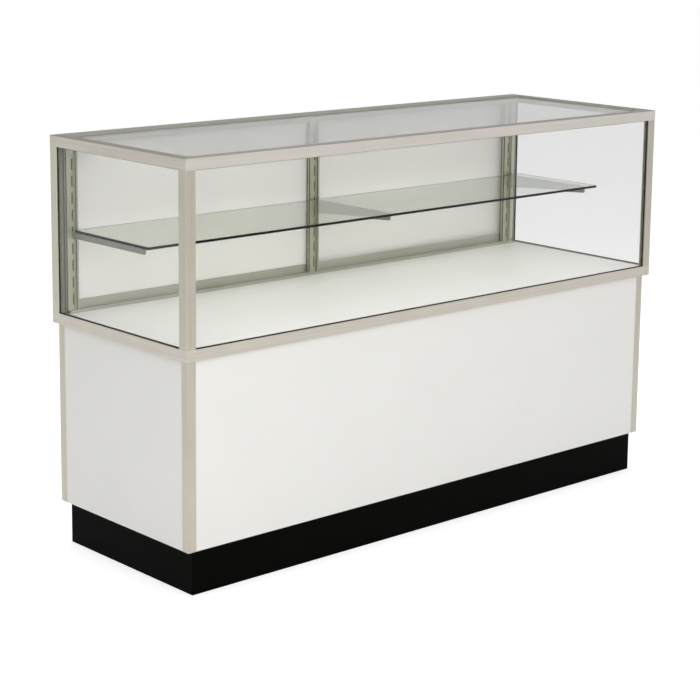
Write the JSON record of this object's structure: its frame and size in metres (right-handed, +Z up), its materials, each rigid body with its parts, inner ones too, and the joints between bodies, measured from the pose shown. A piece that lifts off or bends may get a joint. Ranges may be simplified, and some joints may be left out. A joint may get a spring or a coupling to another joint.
{
  "type": "retail display counter",
  "caption": "Glazed shop counter with an aluminium frame, an adjustable glass shelf and rear sliding doors, on a white storage base with a recessed black kick.",
  "frame": {"origin": "on the floor, under the middle of the counter", "axes": "+X along the length, to the right of a customer facing the counter; +Y from the customer's side to the clerk's side; +Z up"},
  "size_m": [1.524, 0.508, 0.965],
  "materials": {
    "aluminium_frame": "satin clear anodised",
    "aluminium_standard": "satin clear anodised",
    "white_laminate": "white melamine on board",
    "white_door": "white faced hardboard",
    "black_laminate": "black laminate on board",
    "raw_board": "bare particle board",
    "clear_glass": "clear float glass",
    "shelf_glass": "clear float glass, ground edges",
    "black_vinyl": "matt",
    "grey_vinyl": "matt",
    "bracket_steel": "satin plated",
    "key_metal": "as cast",
    "grey_plastic": "moulded",
    "white_nylon": "moulded nylon",
    "lock_chrome": "bright chrome",
    "screw_steel": "zinc plated"
  },
  "bodies": {
    "root": {"bottom_rail_front": "aluminium_frame", "bottom_rail_left": "aluminium_frame", "bottom_rail_right": "aluminium_frame", "bottom_rail_rear": "aluminium_frame", "top_rail_front": "aluminium_frame", "top_rail_left": "aluminium_frame", "top_rail_right": "aluminium_frame", "top_rail_rear": "aluminium_frame", "post_front_left": "aluminium_frame", "post_front_right": "aluminium_frame", "post_rear_left": "aluminium_frame", "post_rear_right": "aluminium_frame", "base_corner_front_left": "aluminium_frame", "base_corner_front_right": "aluminium_frame", "base_corner_rear_left": "aluminium_frame", "base_corner_rear_right": "aluminium_frame", "storage_track_top": "aluminium_frame", "storage_track_bottom": "aluminium_frame", "standard_left": "aluminium_standard", "standard_centre": "aluminium_standard", "standard_right": "aluminium_standard", "front_panel": "white_laminate", "left_panel": "white_laminate", "right_panel": "white_laminate", "cabinet_floor": "white_laminate", "display_deck": "white_laminate", "kick_front": "black_laminate", "kick_rear": "black_laminate", "kick_left": "black_laminate", "kick_right": "black_laminate", "kick_stretchers": "raw_board", "glass_top": "clear_glass", "glass_front": "clear_glass", "glass_left": "clear_glass", "glass_right": "clear_glass", "glazing_vinyl": "black_vinyl", "top_glazing_vinyl": "grey_vinyl", "corner_keys": "key_metal", "frame_screws": "screw_steel"},
    "display_left": {"display_door_left": "white_door", "display_pull_left": "grey_plastic", "display_glides_left": "white_nylon", "display_lock_keeper": "lock_chrome"},
    "display_right": {"display_door_right": "white_door", "display_pull_right": "grey_plastic", "display_glides_right": "white_nylon", "display_lock_body": "lock_chrome", "display_lock_nut": "lock_chrome"},
    "display_lock": {"display_lock_plunger": "lock_chrome"},
    "display_key": {"display_lock_plug": "lock_chrome"},
    "storage_left": {"storage_door_left": "white_door", "storage_pull_left": "grey_plastic", "storage_glides_left": "white_nylon"},
    "storage_right": {"storage_door_right": "white_door", "storage_pull_right": "grey_plastic", "storage_glides_right": "white_nylon"},
    "shelf": {"shelf_glass": "shelf_glass", "bracket_left": "bracket_steel", "bracket_centre": "bracket_steel", "bracket_right": "bracket_steel"}
  },
  "joints": [
    {"name": "display_left_slide", "type": "slide", "parent": "root", "child": "display_left", "axis": [1, 0, 0], "range_m": [0, 0.715]},
    {"name": "display_right_slide", "type": "slide", "parent": "root", "child": "display_right", "axis": [-1, 0, 0], "range_m": [0, 0.715]},
    {"name": "display_lock_push", "type": "slide", "parent": "display_right", "child": "display_lock", "axis": [0, -1, 0], "range_m": [0, 0.0035], "stiffness_N_per_m": 200},
    {"name": "display_key_turn", "type": "hinge", "parent": "display_lock", "child": "display_key", "pos_m": [0, 0.25, 0.75385], "axis": [0, 1, 0], "range_deg": [0, 90]},
    {"name": "storage_left_slide", "type": "slide", "parent": "root", "child": "storage_left", "axis": [1, 0, 0], "range_m": [0, 0.706]},
    {"name": "storage_right_slide", "type": "slide", "parent": "root", "child": "storage_right", "axis": [-1, 0, 0], "range_m": [0, 0.706]},
    {"name": "shelf_height", "type": "slide", "parent": "root", "child": "shelf", "axis": [0, 0, 1], "range_m": [-0.117, 0.117]}
  ]
}
